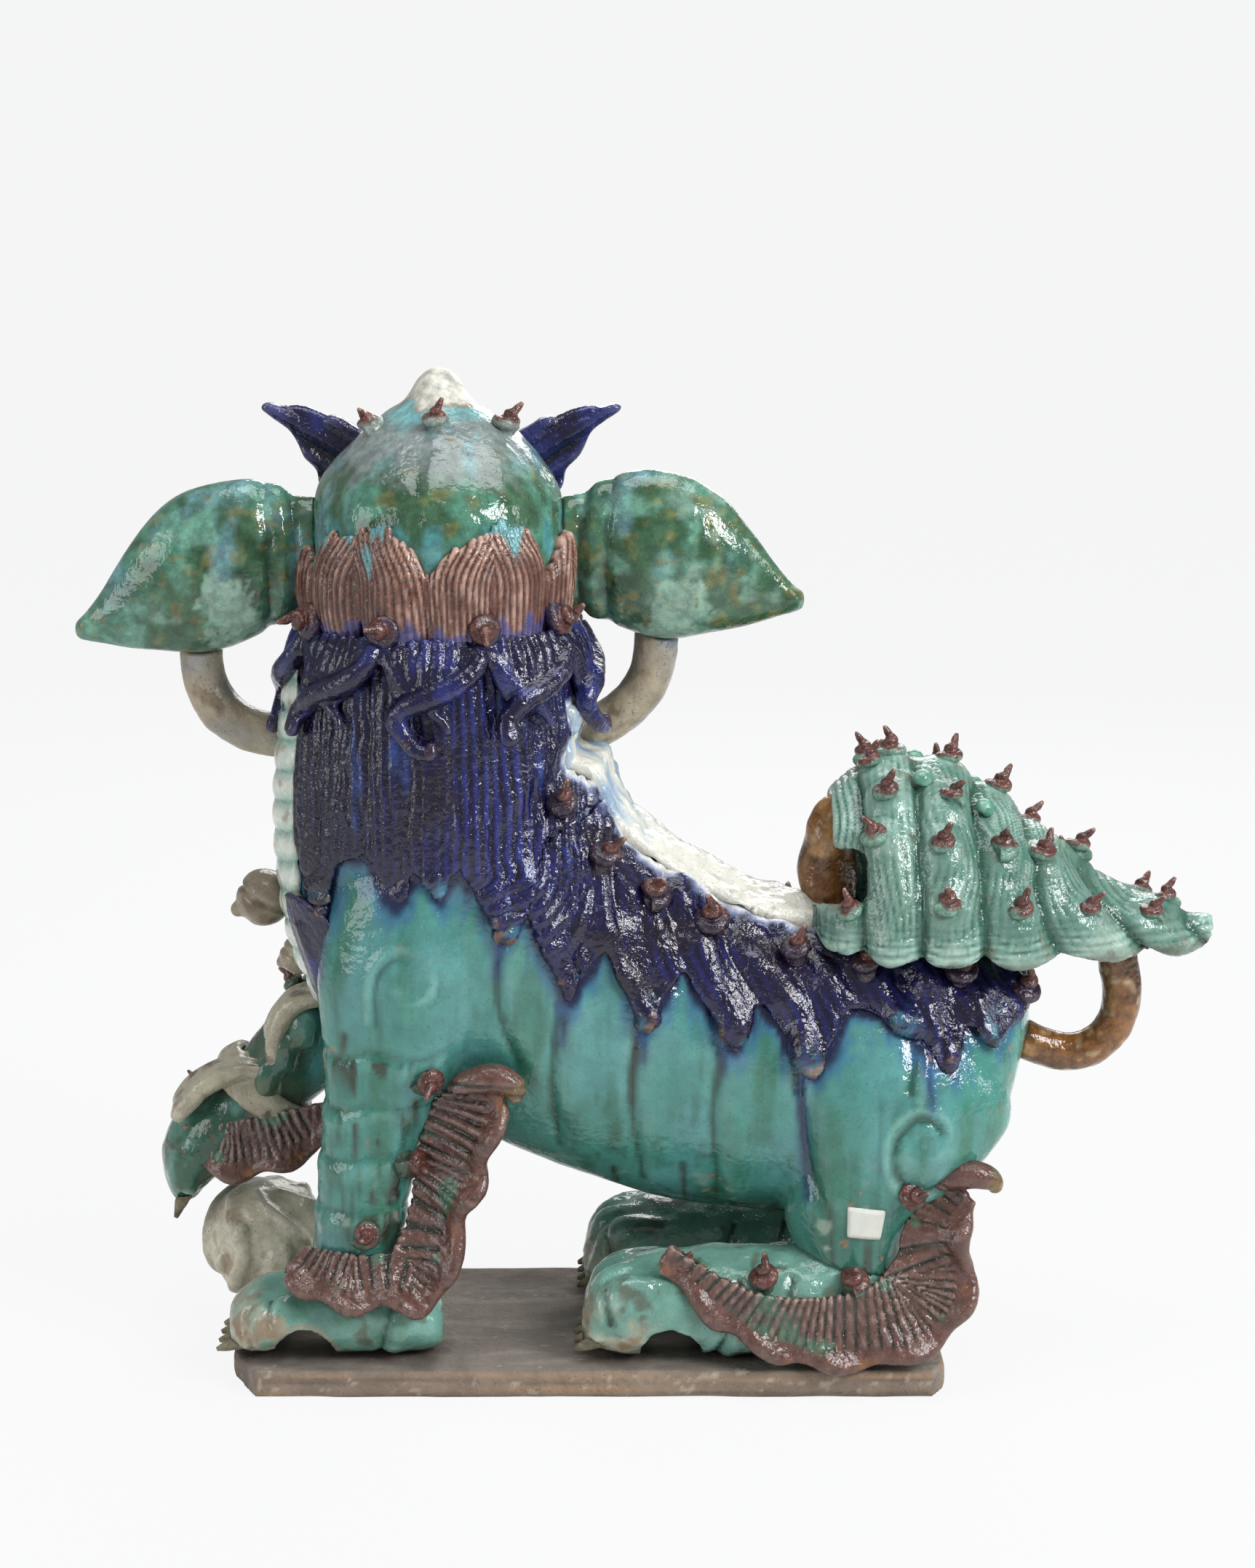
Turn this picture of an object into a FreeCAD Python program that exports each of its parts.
"""Glazed stoneware guardian lion standing on a slab, built from hand-made clay pieces.

Millimetres. The origin is the centre of the slab's underside and +Z is up. The body runs along X with the
chest towards -X, and the head is turned to the side to face +Y, so the lion's own left side faces -Y.
Outlines of the figure are drawn from the top of the slab: place() moves them up by its thickness and
stretches them to the driving length, width and height, while walls, coils and knobs keep their own sizes.
"""

import FreeCAD
import Part

import math
import os

from FreeCAD import Vector

# Driving dimensions: the slab
SLAB_LENGTH = 540.0
SLAB_DEPTH = 228.0
SLAB_THICKNESS = 21.0
SLAB_LEFT_CHAMFER = (20.0, 46.0)
SLAB_RIGHT_CHAMFER = (10.0, 20.0)

# Driving dimensions: the figure, from ear tip to tail tip, across the plume, and from slab to crown
FIGURE_LENGTH = 858.0
FIGURE_WIDTH = 196.0
FIGURE_HEIGHT = 739.0

# Driving dimensions: clay thicknesses, coils and small applied pieces
BODY_WALL = 12.0
LIMB_WALL = 11.0
PLUME_WALL = 13.0
EAR_WALL = 11.0
MANE_THICKNESS = 5.0
HAIR_THICKNESS = 6.0
FRILL_THICKNESS = 13.0
EAR_STRUT_RADIUS = 16.5
TAIL_STRUT_RADIUS = 15.0
TAIL_ROOT_RADIUS = 21.0
KNOB_RADIUS = 11.5
KNOB_HEIGHT = 23.0
KNOB_ROOT = 7.0
LOCK_THICKNESS = 11.0
VENT_RADIUS = 2.5
BALL_RADIUS = 48.0
EYE_RADIUS = 17.0
CLAW_RADIUS = 8.0
CLAW_LENGTH = 26.0

# The sizes that the outline tables below are drawn at
DRAWN_LENGTH = 858.0
DRAWN_WIDTH = 196.0
DRAWN_HEIGHT = 739.0

SCALE_X = FIGURE_LENGTH / DRAWN_LENGTH
SCALE_Y = FIGURE_WIDTH / DRAWN_WIDTH
SCALE_Z = FIGURE_HEIGHT / DRAWN_HEIGHT
RING_POINTS = 16
OUT = "parts"

# Body: (back x, back z), (belly or chest x, z), half width; from the rump round to the top of the neck
BODY = [
    ((338, 243), (335, 222), 9),
    ((332, 280), (319, 174), 52),
    ((306, 301), (297, 129), 80),
    ((262, 319), (256, 100), 91),
    ((205, 331), (200, 90), 92),
    ((145, 338), (138, 91), 88),
    ((95, 361), (68, 100), 86),
    ((47, 391), (-7, 121), 88),
    ((21, 423), (-78, 152), 92),
    ((6, 450), (-150, 190), 96),
    ((-4, 480), (-206, 270), 98),
    ((-8, 505), (-230, 358), 95),
    ((-9, 524), (-230, 440), 91),
    ((-12, 540), (-222, 503), 87),
    ((-20, 552), (-206, 552), 84),
]
NECK_ROOT = 10
# Upright rings: z, centre x, centre y, half length, half width
HEAD = [
    (552, -113, 0, 93, 84),
    (566, -112, 0, 93, 87),
    (584, -111, 0, 93, 89),
    (604, -110, 1, 93, 91),
    (625, -110, 2, 93, 93),
    (646, -110, 4, 91, 90),
    (664, -110, 7, 83, 81),
    (682, -109, 11, 67, 65),
    (696, -109, 14, 52, 50),
    (708, -109, 17, 40, 38),
]
CROWN = [
    (708, -109, 17, 40, 38),
    (719, -109, 19, 29, 28),
    (730, -109, 20, 21, 20),
    (736, -109, 20, 13, 12),
    (739, -109, 20, 5, 5),
]
LEFT_FORELEG = [
    (385, -132, -62, 30, 20),
    (350, -131, -62, 60, 41),
    (305, -131, -61, 69, 47),
    (262, -134, -60, 66, 46),
    (225, -144, -60, 54, 41),
    (188, -157, -61, 42, 36),
    (148, -165, -62, 38, 34),
    (108, -171, -63, 35, 33),
    (70, -175, -64, 36, 33),
    (40, -178, -64, 40, 35),
]
LEFT_HAUNCH = [
    (268, 228, -48, 34, 24),
    (245, 228, -54, 66, 42),
    (215, 231, -57, 82, 50),
    (180, 235, -58, 84, 52),
    (148, 228, -60, 70, 48),
    (120, 206, -62, 55, 42),
    (88, 198, -64, 44, 37),
    (60, 197, -66, 43, 37),
]
# Lengthwise rings: x, centre y, centre z, half width, half height
LEFT_FOREPAW = [
    (-110, -63, 18, 22, 12),
    (-120, -63, 26, 34, 22),
    (-142, -63, 30, 40, 28),
    (-176, -63, 33, 43, 32),
    (-212, -63, 31, 45, 31),
    (-242, -63, 28, 44, 28),
    (-262, -63, 24, 36, 23),
    (-271, -63, 20, 22, 14),
]
LEFT_HIND_FOOT = [
    (250, -68, 22, 24, 14),
    (240, -68, 32, 36, 26),
    (205, -68, 43, 42, 41),
    (150, -68, 42, 43, 42),
    (95, -68, 41, 44, 41),
    (50, -68, 39, 46, 39),
    (20, -68, 35, 43, 33),
    (5, -68, 28, 33, 24),
    (-3, -68, 22, 18, 13),
]
# Leaning rings of the raised foreleg: centre x, y, z, lean in degrees, half depth, half height
RIGHT_FORELEG = [
    (-128, 62, 300, 40, 42, 50),
    (-160, 62, 266, 44, 43, 47),
    (-192, 60, 233, 47, 39, 42),
    (-224, 56, 203, 48, 36, 37),
    (-250, 52, 178, 48, 34, 33),
    (-268, 50, 160, 46, 33, 31),
]
RIGHT_FOREPAW = [
    (-256, 50, 172, 46, 34, 31),
    (-276, 49, 152, 48, 39, 34),
    (-298, 49, 132, 58, 41, 32),
    (-312, 49, 112, 74, 38, 25),
    (-317, 49, 96, 84, 30, 17),
    (-318, 49, 84, 90, 16, 9),
]
# Rings square to Y: y, centre x, centre z, half length, half height
MUZZLE = [
    (62, -110, 616, 74, 44),
    (96, -110, 614, 72, 40),
    (126, -110, 611, 67, 35),
    (146, -110, 608, 59, 30),
    (158, -110, 606, 46, 22),
    (164, -110, 605, 28, 12),
]
JAW = [
    (62, -110, 546, 62, 21),
    (96, -110, 541, 58, 18),
    (122, -110, 539, 51, 15),
    (140, -110, 541, 40, 11),
    (148, -110, 543, 24, 6),
]
TONGUE = [
    (70, -110, 560, 20, 8),
    (100, -110, 561, 24, 8),
    (130, -110, 558, 23, 7),
    (146, -110, 556, 17, 6),
    (152, -110, 556, 9, 3),
]
# Ear rings square to X: distance from the head's middle, centre z, half height, half depth
EAR = [
    (88, 600, 46, 22),
    (104, 601, 44, 20),
    (122, 600, 52, 24),
    (146, 596, 61, 29),
    (176, 589, 63, 30),
    (206, 584, 54, 26),
    (230, 577, 38, 19),
    (250, 570, 21, 12),
    (264, 565, 11, 8),
    (273, 563, 6, 5),
]
HEAD_MIDDLE_X = -110.5
EAR_Y = 6.0
LEFT_EAR_RISE = 0.0
RIGHT_EAR_RISE = 0.12
# Plume: x, crest z, hem z, half width
PLUME = [
    (168, 398, 322, 52),
    (184, 420, 318, 74),
    (206, 439, 314, 89),
    (236, 448, 311, 98),
    (272, 442, 310, 98),
    (305, 422, 311, 91),
    (340, 396, 313, 80),
    (382, 363, 316, 62),
    (424, 338, 311, 42),
    (456, 327, 306, 26),
    (474, 322, 303, 14),
]
# Side outline of what the plume leaves open in front, where the tail root rises
PLUME_MOUTH = [(120, 346), (120, 480), (186, 480), (186, 389), (200, 389), (206, 382), (205, 358), (196, 346)]


def place(x, y, z):
    """A point of the drawn figure at the driving sizes, standing on the slab."""
    return Vector(x * SCALE_X, y * SCALE_Y, z * SCALE_Z + SLAB_THICKNESS)


def closed_curve(points):
    """A smooth closed wire through points."""
    curve = Part.BSplineCurve()
    curve.interpolate(points, PeriodicFlag=True, Parameters=[float(i) for i in range(len(points) + 1)])
    return Part.Wire([curve.toShape()])


def ring(centre, first, second):
    """An elliptical wire about centre whose half axes are the vectors first and second."""
    turns = [2 * math.pi * i / RING_POINTS for i in range(RING_POINTS)]
    return closed_curve([centre + first * math.cos(t) + second * math.sin(t) for t in turns])


def loft(wires):
    """A closed solid through the wires."""
    solid = Part.makeLoft(wires, True, False)
    if solid.Volume < 0:
        solid.reverse()
    return solid


def shrunk(length, wall):
    """What is left of a half size once its wall is taken off."""
    return max(length - wall, length * 0.2)


def body_solid(grow=0.0, first=0):
    """The body's outline as one solid, with grow added all round; a negative grow gives its hollow."""
    trunk = body_run(BODY[first:NECK_ROOT + 1], grow)
    return trunk.fuse(body_run(BODY[NECK_ROOT:], grow))


def body_run(rows, grow):
    """One run of the body's rings as a solid."""
    wires = []
    for (bx, bz), (cx, cz), half_width in rows:
        back, belly = place(bx, 0, bz), place(cx, 0, cz)
        centre = (back + belly) * 0.5
        reach = (back - belly).Length / 2
        up = (back - belly).normalize()
        across = half_width * SCALE_Y
        high = reach + grow if grow >= 0 else shrunk(reach, -grow)
        wide = across + grow if grow >= 0 else shrunk(across, -grow)
        wires.append(ring(centre, up * high, Vector(0, wide, 0)))
    return loft(wires)


def upright(rows, grow=0.0, mirror_y=False):
    """A solid through level rings given as z, centre x, centre y, half length, half width."""
    side = -1 if mirror_y else 1
    wires = []
    for z, x, y, half_x, half_y in rows:
        long = half_x * SCALE_X
        wide = half_y * SCALE_Y
        long = long + grow if grow >= 0 else shrunk(long, -grow)
        wide = wide + grow if grow >= 0 else shrunk(wide, -grow)
        wires.append(ring(place(x, side * y, z), Vector(long, 0, 0), Vector(0, wide, 0)))
    return loft(wires)


def lengthwise(rows, grow=0.0, mirror_y=False):
    """A solid through rings square to X, given as x, centre y, centre z, half width, half height."""
    side = -1 if mirror_y else 1
    wires = []
    for x, y, z, half_y, half_z in rows:
        wide = half_y * SCALE_Y
        high = half_z * SCALE_Z
        wide = wide + grow if grow >= 0 else shrunk(wide, -grow)
        high = high + grow if grow >= 0 else shrunk(high, -grow)
        wires.append(ring(place(x, side * y, z), Vector(0, wide, 0), Vector(0, 0, high)))
    return loft(wires)


def slanting(rows, grow=0.0):
    """A solid through leaning rings, given as x, y, z, lean, half depth, half height."""
    wires = []
    for x, y, z, lean, half_y, half_h in rows:
        turn = math.radians(lean)
        along = Vector(-math.sin(turn), 0, math.cos(turn))
        deep = half_y * SCALE_Y
        high = half_h
        deep = deep + grow if grow >= 0 else shrunk(deep, -grow)
        high = high + grow if grow >= 0 else shrunk(high, -grow)
        wires.append(ring(place(x, y, z), Vector(0, deep, 0), along * high))
    return loft(wires)


def prism(points, y0, y1, smooth=False):
    """A solid between two depths whose side outline is points, given as x and z of the drawn figure."""
    corners = [place(x, y0, z) for x, z in points]
    wire = closed_curve(corners) if smooth else Part.makePolygon(corners + corners[:1])
    return Part.Face(wire).extrude(Vector(0, (y1 - y0) * SCALE_Y, 0))


def plate(points, y, thickness):
    """A smooth-edged plate of clay about the depth y, with its own thickness."""
    corners = [place(x, y, z) - Vector(0, thickness / 2, 0) for x, z in points]
    return Part.Face(closed_curve(corners)).extrude(Vector(0, thickness, 0))


def coil(points, radius):
    """A round coil of clay that follows a smooth curve through points."""
    curve = Part.BSplineCurve()
    curve.interpolate(points)
    path = Part.Wire([curve.toShape()])
    start = curve.tangent(curve.FirstParameter)[0]
    section = Part.Wire([Part.makeCircle(radius, points[0], start)])
    return path.makePipeShell([section], True, False)


def knob_solid():
    """One whorled knob on +Z, with a root below its seat: a stepped cone that ends in a point."""
    r, h = KNOB_RADIUS, KNOB_HEIGHT
    outline = [
        (0, -KNOB_ROOT), (r, -KNOB_ROOT), (r, h * 0.16), (r * 0.72, h * 0.26), (r * 0.86, h * 0.42),
        (r * 0.8, h * 0.54), (r * 0.42, h * 0.66), (r * 0.3, h * 0.8), (0, h),
    ]
    corners = [Vector(x, 0, z) for x, z in outline]
    face = Part.Face(Part.makePolygon(corners + corners[:1]))
    return face.revolve(Vector(0, 0, 0), Vector(0, 0, 1), 360)


def surface_hit(solid, inside, direction):
    """Where a line from a point inside a solid last leaves it."""
    far = inside + direction.normalize() * (FIGURE_LENGTH / 2)
    pieces = Part.makeLine(inside, far).common(solid)
    return max((v.Point for v in pieces.Vertexes), key=lambda p: (p - inside).Length)


def turned_to(solid, point, direction):
    """A copy of a solid made about +Z, stood at point along direction."""
    copy = solid.copy()
    copy.Placement = FreeCAD.Placement(point, FreeCAD.Rotation(Vector(0, 0, 1), direction))
    return copy


def knobs_on(host, rays):
    """Knobs seated on a host where the rays leave it; each ray is a point inside it and a direction."""
    made = []
    for start, direction in rays:
        inside, way = place(*start), Vector(*direction)
        made.append(turned_to(knob_solid(), surface_hit(host, inside, way), way))
    return seated(Part.makeCompound(made), host)


def seated(piece, *hosts):
    """A piece with what its hosts occupy taken away, so that it meets them face to face."""
    for host in hosts:
        piece = piece.cut(host)
    return piece


def only_large(shape, least=60.0):
    """The solids of a shape that are more than slivers."""
    kept = [s for s in shape.Solids if s.Volume > least]
    return kept[0] if len(kept) == 1 else Part.makeCompound(kept)


def largest(shape):
    """The biggest solid of a shape."""
    return max(shape.Solids, key=lambda s: s.Volume)


def mirrored(shape):
    """The same piece on the lion's other side."""
    return shape.mirror(Vector(0, 0, 0), Vector(0, 1, 0))


def facing(rows, grow=0.0):
    """A solid through rings square to Y, given as y, centre x, centre z, half length, half height."""
    wires = []
    for y, x, z, half_x, half_z in rows:
        long = half_x * SCALE_X
        high = half_z * SCALE_Z
        long = long + grow if grow >= 0 else shrunk(long, -grow)
        high = high + grow if grow >= 0 else shrunk(high, -grow)
        wires.append(ring(place(x, y, z), Vector(long, 0, 0), Vector(0, 0, high)))
    return loft(wires)


def ball_at(centre, radius):
    """A round ball of clay about a point."""
    return Part.makeSphere(radius, centre)


# Side outlines of the glazed mane, the bib and the frills, as x and z of the drawn figure
MANE_EDGE = [
    (-236, 562), (-236, 520), (-222, 470), (-219, 410), (-208, 352), (-195, 340), (-184, 384), (-160, 392),
    (-136, 346), (-126, 384), (-108, 362), (-92, 386), (-60, 330), (-42, 350), (-13, 284), (15, 322),
    (44, 262), (72, 304), (110, 244), (128, 278), (167, 224), (196, 272), (232, 262), (268, 229), (284, 262),
    (304, 247), (324, 262), (350, 300), (330, 350), (60, 420), (22, 562),
]
MANE_SPLIT = [(-300, 350), (-42, 350), (-30, 400), (40, 440), (60, 600), (-300, 600)]
SPINE_EDGE = [(24, 490), (-30, 492), (-22, 452), (0, 420), (30, 392), (80, 356), (140, 332), (176, 322), (190, 380)]
SPINE_HALF_WIDTH = 40.0
BIB_EDGE = [(-270, 534), (-212, 534), (-212, 470), (-216, 420), (-212, 360), (-196, 300), (-180, 262), (-270, 262)]
BIB_HALF_WIDTH = 52.0
NAPE_EDGE = [
    (-224, 556), (-224, 590), (-196, 612), (-182, 600), (-172, 628), (-150, 606), (-138, 630), (-122, 602),
    (-108, 628), (-86, 600), (-70, 632), (-52, 604), (-40, 626), (-26, 600), (0, 600), (4, 556),
]
BROW_LEFT = [
    (-245, 701), (-238, 707), (-212, 702), (-200, 695), (-187, 699), (-168, 689), (-130, 672), (-135, 640),
    (-186, 636), (-206, 655), (-213, 669), (-227, 687),
]
FOREFRILL_EDGE = [
    (-110, 232), (-77, 225), (-47, 218), (-41, 205), (-60, 192), (-74, 180), (-71, 157), (-75, 131), (-86, 109),
    (-97, 89), (-99, 65), (-110, 45), (-132, 34), (-150, 46), (-150, 80), (-134, 110), (-124, 150), (-118, 190),
]
HINDFRILL_EDGE = [
    (232, 148), (262, 152), (290, 147), (311, 138), (298, 118), (277, 104), (286, 78), (281, 46), (268, 20),
    (246, 28), (222, 6), (194, 3), (170, 18), (150, 7), (130, 20), (100, 30), (84, 46), (60, 74), (52, 94),
    (84, 88), (120, 62), (170, 46), (212, 58), (236, 92), (240, 122),
]
HINDFRILL_Y = -101.0
RAISED_FRILL_EDGE = [
    (-205, 190), (-222, 170), (-240, 150), (-262, 128), (-282, 112), (-287, 92), (-268, 80), (-246, 82),
    (-226, 92), (-208, 112), (-196, 140), (-194, 170),
]
LEAF_EDGE = [(-224, 352), (-200, 346), (-186, 318), (-198, 268), (-214, 304)]
LEAF_RISE = 3.0
LABEL_CORNERS = [(196, 125), (221, 122), (218, 101), (196, 104)]
LABEL_THICKNESS = 0.6

# Seats of the knobs: a point at the skin and the way the knob points
BACK_KNOBS = [
    ((-22, -62, 420), (0.45, -0.8, 0.4)), ((12, -60, 376), (0.3, -0.8, 0.5)), ((50, -60, 350), (0.15, -0.8, 0.6)),
    ((97, -58, 330), (0, -0.8, 0.6)), ((157, -58, 308), (0, -0.8, 0.6)), ((209, -62, 294), (0, -0.8, 0.6)),
    ((278, -52, 286), (0.2, -0.75, 0.6)), ((320, -34, 268), (0.75, -0.5, 0.4)),
]
FORELEG_KNOBS = [((-116, -100, 222), (0.3, -1, 0.1)), ((-128, -92, 155), (0.4, -1, 0)), ((-165, -94, 102), (0, -1, 0))]
HINDLEG_KNOBS = [((240, -100, 130), (0.35, -1, 0.1))]
HINDFOOT_KNOBS = [((133, -100, 66), (0, -1, 0.6)), ((200, -100, 62), (0, -1, 0.6)), ((76, -96, 70), (-0.2, -0.6, 0.8))]
FOREPAW_KNOBS = [((-214, -80, 58), (-0.2, -0.5, 1))]
HEAD_KNOBS = [((-152, -4, 688), (-0.7, -0.35, 0.8)), ((-110, -22, 694), (0, -0.8, 0.8)), ((-68, -4, 688), (0.7, -0.35, 0.8))]
RAISED_KNOBS = [((-226, 56, 250), (-0.7, 0.1, 0.7)), ((-296, 50, 166), (-0.8, 0.1, 0.6))]
# Knobs of the plume: x and lean from upright in degrees; those that lean stand on both sides
PLUME_KNOBS = [
    (210, 8), (221, 26), (212, 42), (264, 46), (272, 26), (312, 42), (343, 38), (191, 76), (266, 69), (323, 71),
    (376, 69), (427, 62),
]
PLUME_CREST_KNOBS = [228, 277, 314, 375, 443]
PLUME_BOSSES = [(250, 17), (296, 22)]
PLUME_BOSS_RADIUS = 8.0
LOCK_CLUSTERS = 7
LOCK_STEP = 42.0
COLLAR_LENGTH = 101.0
COLLAR_WIDTH = 94.0
COLLAR_X = -110.0
COLLAR_Z = 552.0


def make_slab():
    """The rough slab with its two front corners cut off."""
    x, y = SLAB_LENGTH / 2, SLAB_DEPTH / 2
    (ax, ay), (bx, by) = SLAB_LEFT_CHAMFER, SLAB_RIGHT_CHAMFER
    corners = [(-x, y), (-x, -y + ay), (-x + ax, -y), (x - bx, -y), (x, -y + by), (x, y)]
    points = [Vector(px, py, 0) for px, py in corners]
    return Part.Face(Part.makePolygon(points + points[:1])).extrude(Vector(0, 0, SLAB_THICKNESS))


def vents():
    """Two small holes through the near side of the neck that let the firing steam out."""
    holes = []
    for x in (-137, -83):
        start = place(x, -60, 497)
        holes.append(Part.makeCylinder(VENT_RADIUS, 60, start, Vector(0, -1, 0)))
    return Part.makeCompound(holes)


def make_torso(core):
    """The hollow body from rump to the top of the neck, open into the head."""
    return core.cut(body_solid(-BODY_WALL, first=2)).cut(vents())


def make_head(head):
    """The hollow skull, open below into the neck."""
    return head.cut(upright(HEAD[:-2], grow=-BODY_WALL))


def mane_skin(mane, core, spine):
    """The coat of mane over the neck and back with its jagged lower edge."""
    coat = mane.common(prism(MANE_EDGE, -130, 130)).cut(core)
    return coat.cut(spine).cut(vents())


def skin(outer, inner, outline, half_width):
    """The part of a coat that an outline covers, as far as half_width to both sides."""
    return outer.common(prism(outline, -half_width, half_width)).cut(inner)


def make_nape(head):
    """Flame tufts of hair low on the back of the skull."""
    coat = upright(HEAD[:-1], grow=HAIR_THICKNESS)
    return coat.common(prism(NAPE_EDGE, -130, 2)).cut(head)


def ear(rise, direction):
    """One ear as a solid leaf, and the hollow on its far side."""
    def rows(source, deeper):
        made = []
        for distance, z, high, deep in source:
            lift = (distance - EAR[0][0]) * rise
            made.append((HEAD_MIDDLE_X + direction * distance, EAR_Y + deeper, z + lift, deep, high))
        return made
    leaf = lengthwise(rows(EAR, 0))
    hollow = lengthwise(rows(EAR[3:8], EAR_WALL + 4), grow=-EAR_WALL)
    return leaf, leaf.cut(hollow)


def neck_way(angle):
    """The level direction out of the neck, counted from the near side."""
    turn = math.radians(angle)
    return Vector(math.sin(turn), -math.cos(turn), 0)


def collar_point(angle, out, drop):
    """A point on the collar line, moved outwards and downwards."""
    turn = math.radians(angle)
    x = COLLAR_X + (COLLAR_LENGTH + out) * math.sin(turn)
    return place(x, -(COLLAR_WIDTH + out) * math.cos(turn), COLLAR_Z - drop)


def collar_lock(angle):
    """One lock of hair that hangs from the collar and flicks outwards at its tip."""
    rings = []
    for out, drop, half, thick, drift in [
        (-6, -4, 31, 0.9, 0), (-4, 20, 29, 1.0, 1), (2, 44, 20, 0.8, 4), (12, 62, 11, 0.6, 8), (24, 74, 6, 0.45, 12),
    ]:
        way = neck_way(angle)
        side = Vector(way.y, -way.x, 0) * -1
        centre = collar_point(angle + drift * 0.5, out, drop)
        rings.append(ring(centre, side * half, way * (LOCK_THICKNESS * thick)))
    return loft(rings)


def make_collar(*hosts):
    """The ring of locks between skull and neck, left open in front under the jaw."""
    first = -LOCK_STEP * (LOCK_CLUSTERS - 1) / 2
    locks = [collar_lock(first + LOCK_STEP * i) for i in range(LOCK_CLUSTERS)]
    return only_large(seated(Part.makeCompound(locks), *hosts))


def make_collar_knobs(host, collar):
    """Knobs that stand between the locks of the collar."""
    first = -LOCK_STEP * (LOCK_CLUSTERS - 2) / 2
    made = []
    for i in range(LOCK_CLUSTERS - 1):
        angle = first + LOCK_STEP * i
        way = neck_way(angle)
        inside = place(COLLAR_X, 0, COLLAR_Z + 6)
        made.append(turned_to(knob_solid(), surface_hit(host, inside, way), way))
    return only_large(seated(Part.makeCompound(made), host, collar))


def both_sides(rays):
    """The same knob seats on both sides of the body."""
    return rays + [((x, -y, z), (dx, -dy, dz)) for (x, y, z), (dx, dy, dz) in rays]


def knob_row(host, seats, *neighbours):
    """Knobs with their seats on a host, clear of its neighbours."""
    made = []
    for (x, y, z), way in seats:
        way = Vector(*way).normalize()
        start = place(x, y, z) - way * 42
        made.append(turned_to(knob_solid(), surface_hit(host, start, way), way))
    return only_large(seated(Part.makeCompound(made), host, *neighbours))


def arch(x0, x1, height, y0, y1):
    """A round-topped tunnel through a paw, just above the slab."""
    middle, half = (x0 + x1) / 2, (x1 - x0) / 2
    points = [(x0, -1), (x0, height * 0.45), (middle - half * 0.6, height * 0.85), (middle, height)]
    points += [(middle + half * 0.6, height * 0.85), (x1, height * 0.45), (x1, -1)]
    return prism(points, y0, y1)


def slab_top_cut(shape):
    """A piece with whatever is below the slab's top taken away."""
    size = 4 * FIGURE_LENGTH
    box = Part.makeBox(size, size, size / 2, Vector(-size / 2, -size / 2, SLAB_THICKNESS - size / 2))
    return shape.cut(box)


def claws(tips, way, host):
    """Claws set into the toes of a paw."""
    made = []
    for x, y, z in tips:
        tip_way = Vector(*way).normalize()
        root = place(x, y, z)
        made.append(Part.makeCone(CLAW_RADIUS, 2.0, CLAW_LENGTH, root, tip_way))
    return only_large(slab_top_cut(seated(Part.makeCompound(made), host)), 20)


def make_plume():
    """The tail's canopy: an open-bottomed shell that rises behind the tail root."""
    def dome(rows, wall):
        wires = []
        for x, crest, hem, half in rows:
            high = shrunk((crest - hem) * SCALE_Z, wall)
            wide = shrunk(half * SCALE_Y, wall)
            wires.append(ring(place(x, 0, hem), Vector(0, wide, 0), Vector(0, 0, high)))
        return loft(wires)
    outer = dome(PLUME, 0)
    hollow = dome(PLUME[:-1], PLUME_WALL)
    low = prism([(x, z) for x, z in ((100, 100), (100, 322), (168, 322), (206, 314), (474, 303), (520, 303), (520, 100))],
                -150, 150)
    mouth = prism(PLUME_MOUTH, -150, 150)
    return outer.cut(low), largest(outer.cut(hollow).cut(low).cut(mouth))


def plume_knobs(plume):
    """Knobs over the plume: those that lean are on both sides, those on the crest stand upright."""
    seats = []
    for x, lean in PLUME_KNOBS:
        seats += [(x, lean), (x, -lean)]
    seats += [(x, 0) for x in PLUME_CREST_KNOBS]
    made = [plume_seat(plume, x, lean, knob_solid()) for x, lean in seats]
    return only_large(seated(Part.makeCompound(made), plume))


def plume_seat(plume, x, lean, piece):
    """A piece stood on the plume at x, leaning from upright; a positive lean is to the near side."""
    turn = math.radians(lean)
    way = Vector(0, -math.sin(turn), math.cos(turn))
    hem = next(row[2] for row in reversed(PLUME) if row[0] <= x)
    return turned_to(piece, surface_hit(plume, place(x, 0, hem + 4), way), way)


def make_plume_bosses(plume, knobs):
    """Plain glazed bosses between the plume's knobs."""
    seats = [(x, side * lean) for x, lean in PLUME_BOSSES for side in (1, -1)]
    made = [plume_seat(plume, x, lean, ball_at(Vector(0, 0, 0), PLUME_BOSS_RADIUS)) for x, lean in seats]
    return only_large(seated(Part.makeCompound(made), plume, knobs))


def teeth(rows, length, root_z, way_z, host):
    """Teeth round the front of a jaw, each a peg with its root inside the host."""
    made = []
    for x, y, radius, reach in rows:
        root = place(x, y, root_z)
        made.append(Part.makeCone(radius, radius * 0.45, length * reach, root, Vector(0, 0, way_z)))
    return only_large(seated(Part.makeCompound(made), host), 10)


def trunk_pieces(core, mane):
    """The hollow body and what is laid on it."""
    pieces = {"torso_shell": make_torso(core)}
    spine = body_solid(MANE_THICKNESS + 2.0).common(prism(SPINE_EDGE, -SPINE_HALF_WIDTH, SPINE_HALF_WIDTH))
    bib = body_solid(MANE_THICKNESS + 1.0).common(prism(BIB_EDGE, -BIB_HALF_WIDTH, BIB_HALF_WIDTH))
    coat = mane_skin(mane, core, spine).cut(bib)
    neck = prism(MANE_SPLIT, -140, 140)
    pieces["spine_ridge"] = largest(spine.cut(core))
    pieces["chest_bib"] = largest(bib.cut(core))
    pieces["neck_mane"] = largest(coat.common(neck))
    pieces["back_mane"] = only_large(coat.cut(neck), 400)
    return pieces, bib


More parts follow.
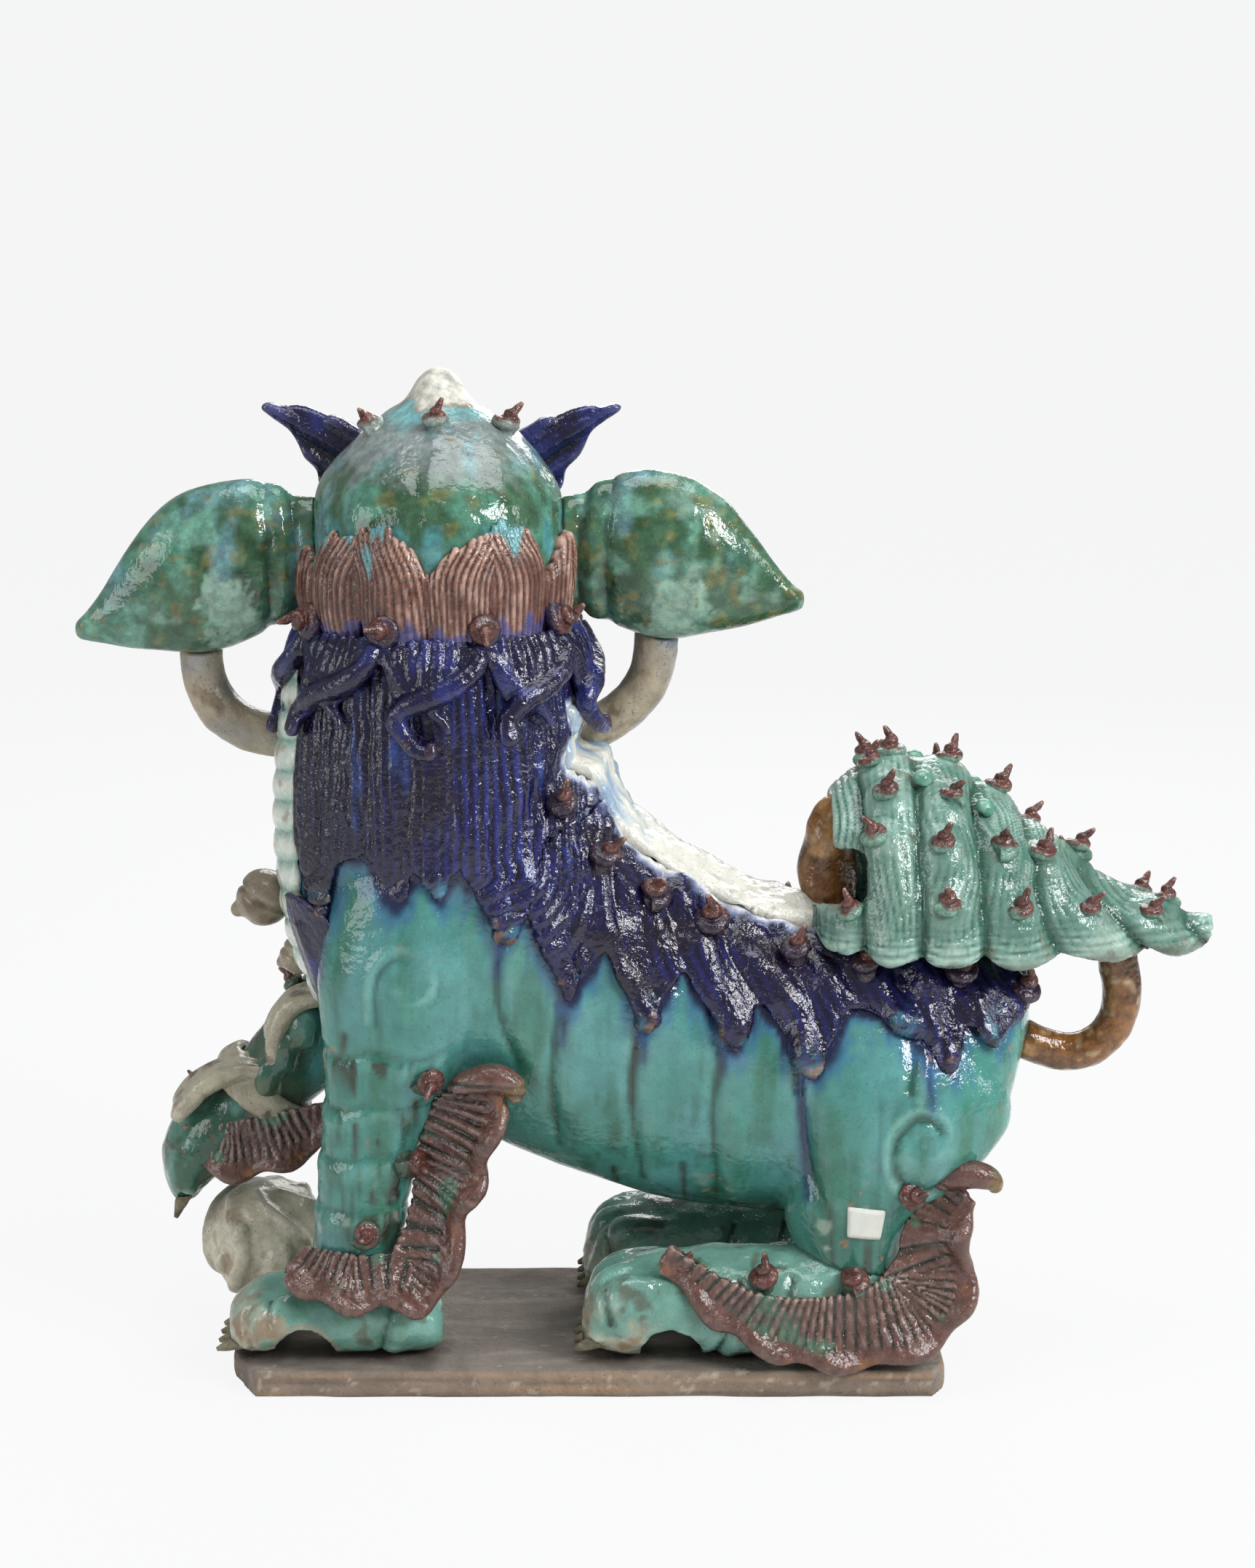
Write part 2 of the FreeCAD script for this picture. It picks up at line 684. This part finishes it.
def chest_pieces(core, bib, mane):
    """The leaf-shaped lock and the two bells on the chest."""
    leaf = plate(LEAF_EDGE, -76, 70).common(body_solid(MANE_THICKNESS + LEAF_RISE))
    bells = []
    for x, y, z, radius in [(-248, 20, 333, 22.0), (-222, 20, 288, 16.0)]:
        bells.append(ball_at(place(x, y, z), radius))
        bells.append(ball_at(place(x, y, z) - Vector(radius * 0.9, 0, radius * 0.4), radius * 0.3))
    first = bells[0].fuse(bells[1]).cut(bib).cut(core)
    second = bells[2].fuse(bells[3]).cut(bib).cut(core)
    return {
        "chest_leaf_lock": largest(leaf.cut(core).cut(bib).cut(mane)),
        "chest_bells": Part.makeCompound([largest(first), largest(second)]),
    }


def head_pieces(core, head, mane):
    """Skull, crown, nape, ears, struts, brows and the face on the far side."""
    crown = upright(CROWN)
    skull = make_head(head)
    left_leaf, left_ear = ear(LEFT_EAR_RISE, -1)
    right_leaf, right_ear = ear(RIGHT_EAR_RISE, 1)
    nape = largest(make_nape(head))
    left_strut = coil([place(x, 20, z) for x, z in
                       ((-289, 548), (-291, 515), (-284, 489), (-268, 471), (-250, 463), (-206, 462))], EAR_STRUT_RADIUS)
    right_strut = coil([place(x, 20, z) for x, z in
                        ((52, 556), (51, 520), (45, 501), (33, 485), (18, 473), (-30, 462))], EAR_STRUT_RADIUS)
    brow = [place(x, 0, z) for x, z in BROW_LEFT]
    brows = []
    for side in (1, -1):
        points = [Vector(HEAD_MIDDLE_X * SCALE_X + side * (p.x - HEAD_MIDDLE_X * SCALE_X), 62 * SCALE_Y - 8, p.z)
                  for p in brow]
        brows.append(Part.Face(closed_curve(points)).extrude(Vector(0, 16, 0)))
    return {
        "head_shell": skull,
        "crown_peak": crown,
        "nape_hair": nape.cut(mane),
        "ear_left": largest(left_ear.cut(head).cut(nape)),
        "ear_right": largest(right_ear.cut(head).cut(nape)),
        "ear_strut_left": largest(seated(left_strut, left_leaf, core, mane)),
        "ear_strut_right": largest(seated(right_strut, right_leaf, core, mane)),
        "brow_flame_left": largest(seated(brows[0], head, left_leaf)),
        "brow_flame_right": largest(seated(brows[1], head, right_leaf)),
        "head_knobs": knob_row(head, HEAD_KNOBS, crown),
    }


def face_pieces(core, head, mane):
    """The face, which looks to the far side."""
    muzzle, jaw = facing(MUZZLE), facing(JAW)
    jaw_seated = jaw.cut(head).cut(mane).cut(core)
    x = HEAD_MIDDLE_X
    eyes = [ball_at(place(x + side * 42, 84, 652), EYE_RADIUS) for side in (-1, 1)]
    nose = [ball_at(place(x + side * 15, 158, 628), 15.0) for side in (-1, 1)]
    upper = [(x + dx, y, r, reach) for dx, y, r, reach in
             [(-12, 150, 5, 1), (12, 150, 5, 1), (-36, 140, 6, 1.7), (36, 140, 6, 1.7),
              (-53, 122, 5, 1), (53, 122, 5, 1), (-60, 100, 5, 1), (60, 100, 5, 1)]]
    lower = [(x + dx, y, r, reach) for dx, y, r, reach in
             [(-9, 139, 4.5, 1), (9, 139, 4.5, 1), (-27, 131, 5, 1.5), (27, 131, 5, 1.5),
              (-41, 114, 4.5, 1), (41, 114, 4.5, 1)]]
    curls = []
    for dx, y, drop in [(-46, 104, 0), (-26, 126, 4), (0, 136, 6), (26, 126, 4), (46, 104, 0)]:
        curls.append(Part.makeCone(15, 4, 34, place(x + dx, y, 546 - drop), Vector(dx * 0.01, 0.25, -1)))
    tongue = facing(TONGUE)
    return {
        "muzzle": largest(muzzle.cut(head)),
        "lower_jaw": largest(jaw_seated),
        "tongue": largest(seated(tongue, jaw, muzzle, head)),
        "eyes": Part.makeCompound([largest(seated(eye, head, muzzle)) for eye in eyes]),
        "nose": largest(nose[0].fuse(nose[1]).cut(muzzle)),
        "teeth_upper": teeth(upper, 18, 592, -1, muzzle),
        "teeth_lower": teeth(lower, 20, 540, 1, jaw),
        "beard_curls": only_large(seated(Part.makeCompound(curls), jaw, core, mane)),
    }


def left_foreleg_pieces(core):
    """The standing foreleg with its paw, claws, frill and knobs."""
    leg, paw = upright(LEFT_FORELEG), slab_top_cut(lengthwise(LEFT_FOREPAW))
    tunnel = arch(-236, -190, 22, -130, 0)
    frill = slab_top_cut(plate(FOREFRILL_EDGE, -68, FRILL_THICKNESS))
    cuff = upright([(46, -178, -64, 52, 46), (60, -177, -64, 58, 52), (76, -175, -64, 47, 43)])
    tips = [(-256, -63 + dy, 17) for dy in (-27, -9, 9, 27)]
    paw_open = largest(paw.cut(tunnel))
    frill = largest(seated(frill.fuse(cuff), core, leg, paw))
    return {
        "foreleg_left": largest(seated(leg.cut(upright(LEFT_FORELEG[2:], grow=-LIMB_WALL)), core, paw)),
        "forepaw_left": paw_open,
        "forepaw_claws_left": claws(tips, (-1, 0, -0.35), paw),
        "foreleg_frill_left": frill,
        "foreleg_knobs_left": only_large(Part.makeCompound(
            knob_row(leg.fuse(core), FORELEG_KNOBS, frill, cuff).Solids +
            knob_row(paw, FOREPAW_KNOBS, leg, cuff, frill).Solids)),
    }


def right_foreleg_pieces(core, bib):
    """The raised foreleg whose paw rests on the ball."""
    leg, paw = slanting(RIGHT_FORELEG), slanting(RIGHT_FOREPAW)
    ball = ball_at(Vector(-253 * SCALE_X, 50 * SCALE_Y, SLAB_THICKNESS + BALL_RADIUS), BALL_RADIUS)
    frill = plate(RAISED_FRILL_EDGE, 26, FRILL_THICKNESS)
    band = slanting([(-246, 52, 182, 48, 40, 39), (-256, 51, 172, 48, 44, 43), (-266, 51, 163, 48, 39, 37)])
    tips = [(-316, 50 + dy, 96) for dy in (-21, -7, 7, 21)]
    return {
        "foreleg_right": largest(seated(leg.cut(slanting(RIGHT_FORELEG[1:], grow=-LIMB_WALL)), core, bib, paw)),
        "forepaw_right": largest(seated(paw, ball)),
        "forepaw_claws_right": claws(tips, (-0.35, 0, -1), paw.fuse(ball)),
        "foreleg_band_right": largest(seated(band, leg, paw, ball)),
        "foreleg_frill_right": largest(seated(frill, leg, paw, band, ball)),
        "foreleg_knobs_right": only_large(Part.makeCompound(
            knob_row(leg, RAISED_KNOBS[:1], core, bib).Solids + knob_row(paw, RAISED_KNOBS[1:], band).Solids)),
        "ball": ball,
    }


def left_hind_pieces(core, mane):
    """The near hind leg; the far one is its mirror image."""
    leg, foot = upright(LEFT_HAUNCH), slab_top_cut(lengthwise(LEFT_HIND_FOOT))
    tunnel = arch(40, 86, 31, -130, 0)
    frill = slab_top_cut(plate(HINDFRILL_EDGE, HINDFRILL_Y, FRILL_THICKNESS))
    tips = [(14, -68 + dy, 20) for dy in (-27, -9, 9, 27)]
    frill = largest(seated(frill, core, leg, foot))
    return {
        "haunch": largest(seated(leg.cut(upright(LEFT_HAUNCH[2:], grow=-LIMB_WALL)), core, mane, foot)),
        "hind_foot": largest(foot.cut(tunnel)),
        "hind_claws": claws(tips, (-1, 0, -0.4), foot),
        "hind_frill": frill,
        "hind_knobs": only_large(Part.makeCompound(
            knob_row(leg, HINDLEG_KNOBS, core, frill).Solids + knob_row(foot, HINDFOOT_KNOBS, leg, frill).Solids)),
    }


def make_label():
    """The blank paper label on the near hind leg."""
    leg = upright(LEFT_HAUNCH)
    paper = upright(LEFT_HAUNCH, grow=LABEL_THICKNESS).cut(leg)
    return largest(paper.common(prism(LABEL_CORNERS, -130, -60)))


def tail_pieces(core, mane, spine):
    """Tail root, plume, its strut and its knobs."""
    outer, plume = make_plume()
    root = coil([place(x, 0, z) for x, z in
                 ((192, 300), (185, 336), (182, 366), (188, 392), (202, 406), (222, 410))], TAIL_ROOT_RADIUS)
    strut = coil([place(x, 0, z) for x, z in
                  ((300, 246), (336, 226), (356, 218), (378, 217), (398, 229), (409, 254), (407, 284), (396, 330))],
                 TAIL_STRUT_RADIUS)
    knobs = plume_knobs(plume)
    return {
        "tail_root": largest(seated(root, core, mane, spine, plume)),
        "tail_plume": largest(seated(plume, core, mane)),
        "tail_strut": largest(seated(strut, core, mane, plume)),
        "plume_knobs": knobs,
        "plume_bosses": make_plume_bosses(plume, knobs),
    }


def build():
    """Every piece of the statue by name."""
    core = body_solid()
    mane = body_solid(MANE_THICKNESS)
    head = upright(HEAD)
    pieces, bib = trunk_pieces(core, mane)
    coat = Part.makeCompound([pieces["neck_mane"]] + pieces["back_mane"].Solids)
    pieces["plinth_slab"] = make_slab()
    pieces.update(chest_pieces(core, bib, pieces["neck_mane"]))
    pieces.update(head_pieces(core, head, pieces["neck_mane"]))
    pieces.update(face_pieces(core, head, pieces["neck_mane"]))
    pieces.update(left_foreleg_pieces(core))
    pieces.update(right_foreleg_pieces(core, bib))
    for name, shape in left_hind_pieces(core, coat).items():
        pieces[name + "_left"] = shape
        pieces[name + "_right"] = mirrored(shape)
    pieces["blank_label"] = make_label()
    pieces.update(tail_pieces(core, pieces["back_mane"], pieces["spine_ridge"]))
    hosts = [core, pieces["neck_mane"], head, pieces["nape_hair"], pieces["chest_bib"]]
    neighbours = [pieces[n] for n in ("ear_left", "ear_right", "ear_strut_left", "ear_strut_right", "lower_jaw")]
    pieces["collar_locks"] = make_collar(*hosts, *neighbours)
    collar = pieces["collar_locks"]
    pieces["collar_knobs"] = make_collar_knobs(head.fuse(mane), collar)
    pieces["back_knobs"] = knob_row(mane, both_sides(BACK_KNOBS), pieces["spine_ridge"])
    return pieces


def main():
    """Write one STEP file for each piece."""
    os.makedirs(OUT, exist_ok=True)
    for name, shape in sorted(build().items()):
        print(name, len(shape.Solids), shape.isValid(), round(shape.Volume / 1000.0, 1))
        shape.exportStep(os.path.join(OUT, name + ".step"))


main()
